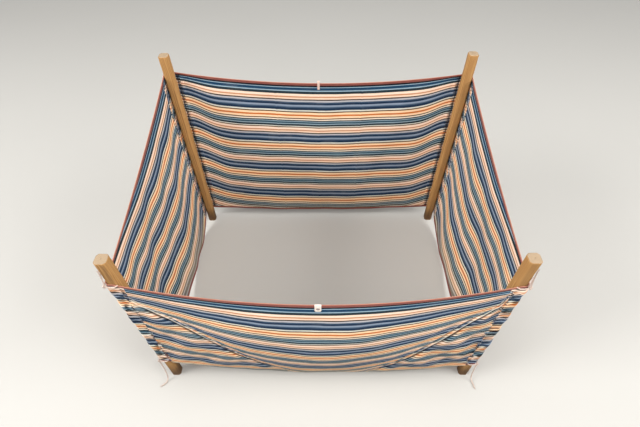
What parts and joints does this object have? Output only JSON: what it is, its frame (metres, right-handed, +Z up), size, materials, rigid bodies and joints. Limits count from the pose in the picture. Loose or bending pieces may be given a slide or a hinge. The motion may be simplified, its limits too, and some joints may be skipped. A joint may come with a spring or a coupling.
{
  "type": "beach windbreak",
  "caption": "Rectangular beach windbreak: striped canvas tied round the outside of chamfered timber posts.",
  "frame": {"origin": "centre of the foot of the front left post, where it meets the sand", "axes": "+X to the right along the front, +Y from the front to the back, +Z up"},
  "size_m": [1.6476, 1.2031, 1.207],
  "materials": {
    "post": "weathered, sawn",
    "canvas": "woven stripe",
    "binding": "woven tape",
    "cord": "braided cotton",
    "tape": "woven tape"
  },
  "bodies": {
    "root": {"front_left_post": "post", "front_right_post": "post", "back_right_post": "post", "back_left_post": "post", "front_canvas": "canvas", "right_canvas": "canvas", "back_canvas": "canvas", "left_canvas": "canvas", "front_left_corner": "canvas", "front_right_corner": "canvas", "back_right_corner": "canvas", "back_left_corner": "canvas", "front_top_binding": "binding", "right_top_binding": "binding", "back_top_binding": "binding", "left_top_binding": "binding", "front_bottom_binding": "binding", "right_bottom_binding": "binding", "back_bottom_binding": "binding", "left_bottom_binding": "binding", "front_left_corner_binding": "binding", "front_right_corner_binding": "binding", "back_right_corner_binding": "binding", "back_left_corner_binding": "binding", "front_turned_hem": "canvas", "front_left_top_tie": "cord", "front_right_top_tie": "cord", "back_right_top_tie": "cord", "back_left_top_tie": "cord", "front_left_foot_tie": "cord", "front_right_foot_tie": "cord", "back_right_foot_tie": "cord", "back_left_foot_tie": "cord", "front_left_tie_tail": "cord", "front_right_tie_tail": "cord", "front_centre_tab": "tape", "back_centre_loop": "tape"}
  },
  "joints": []
}
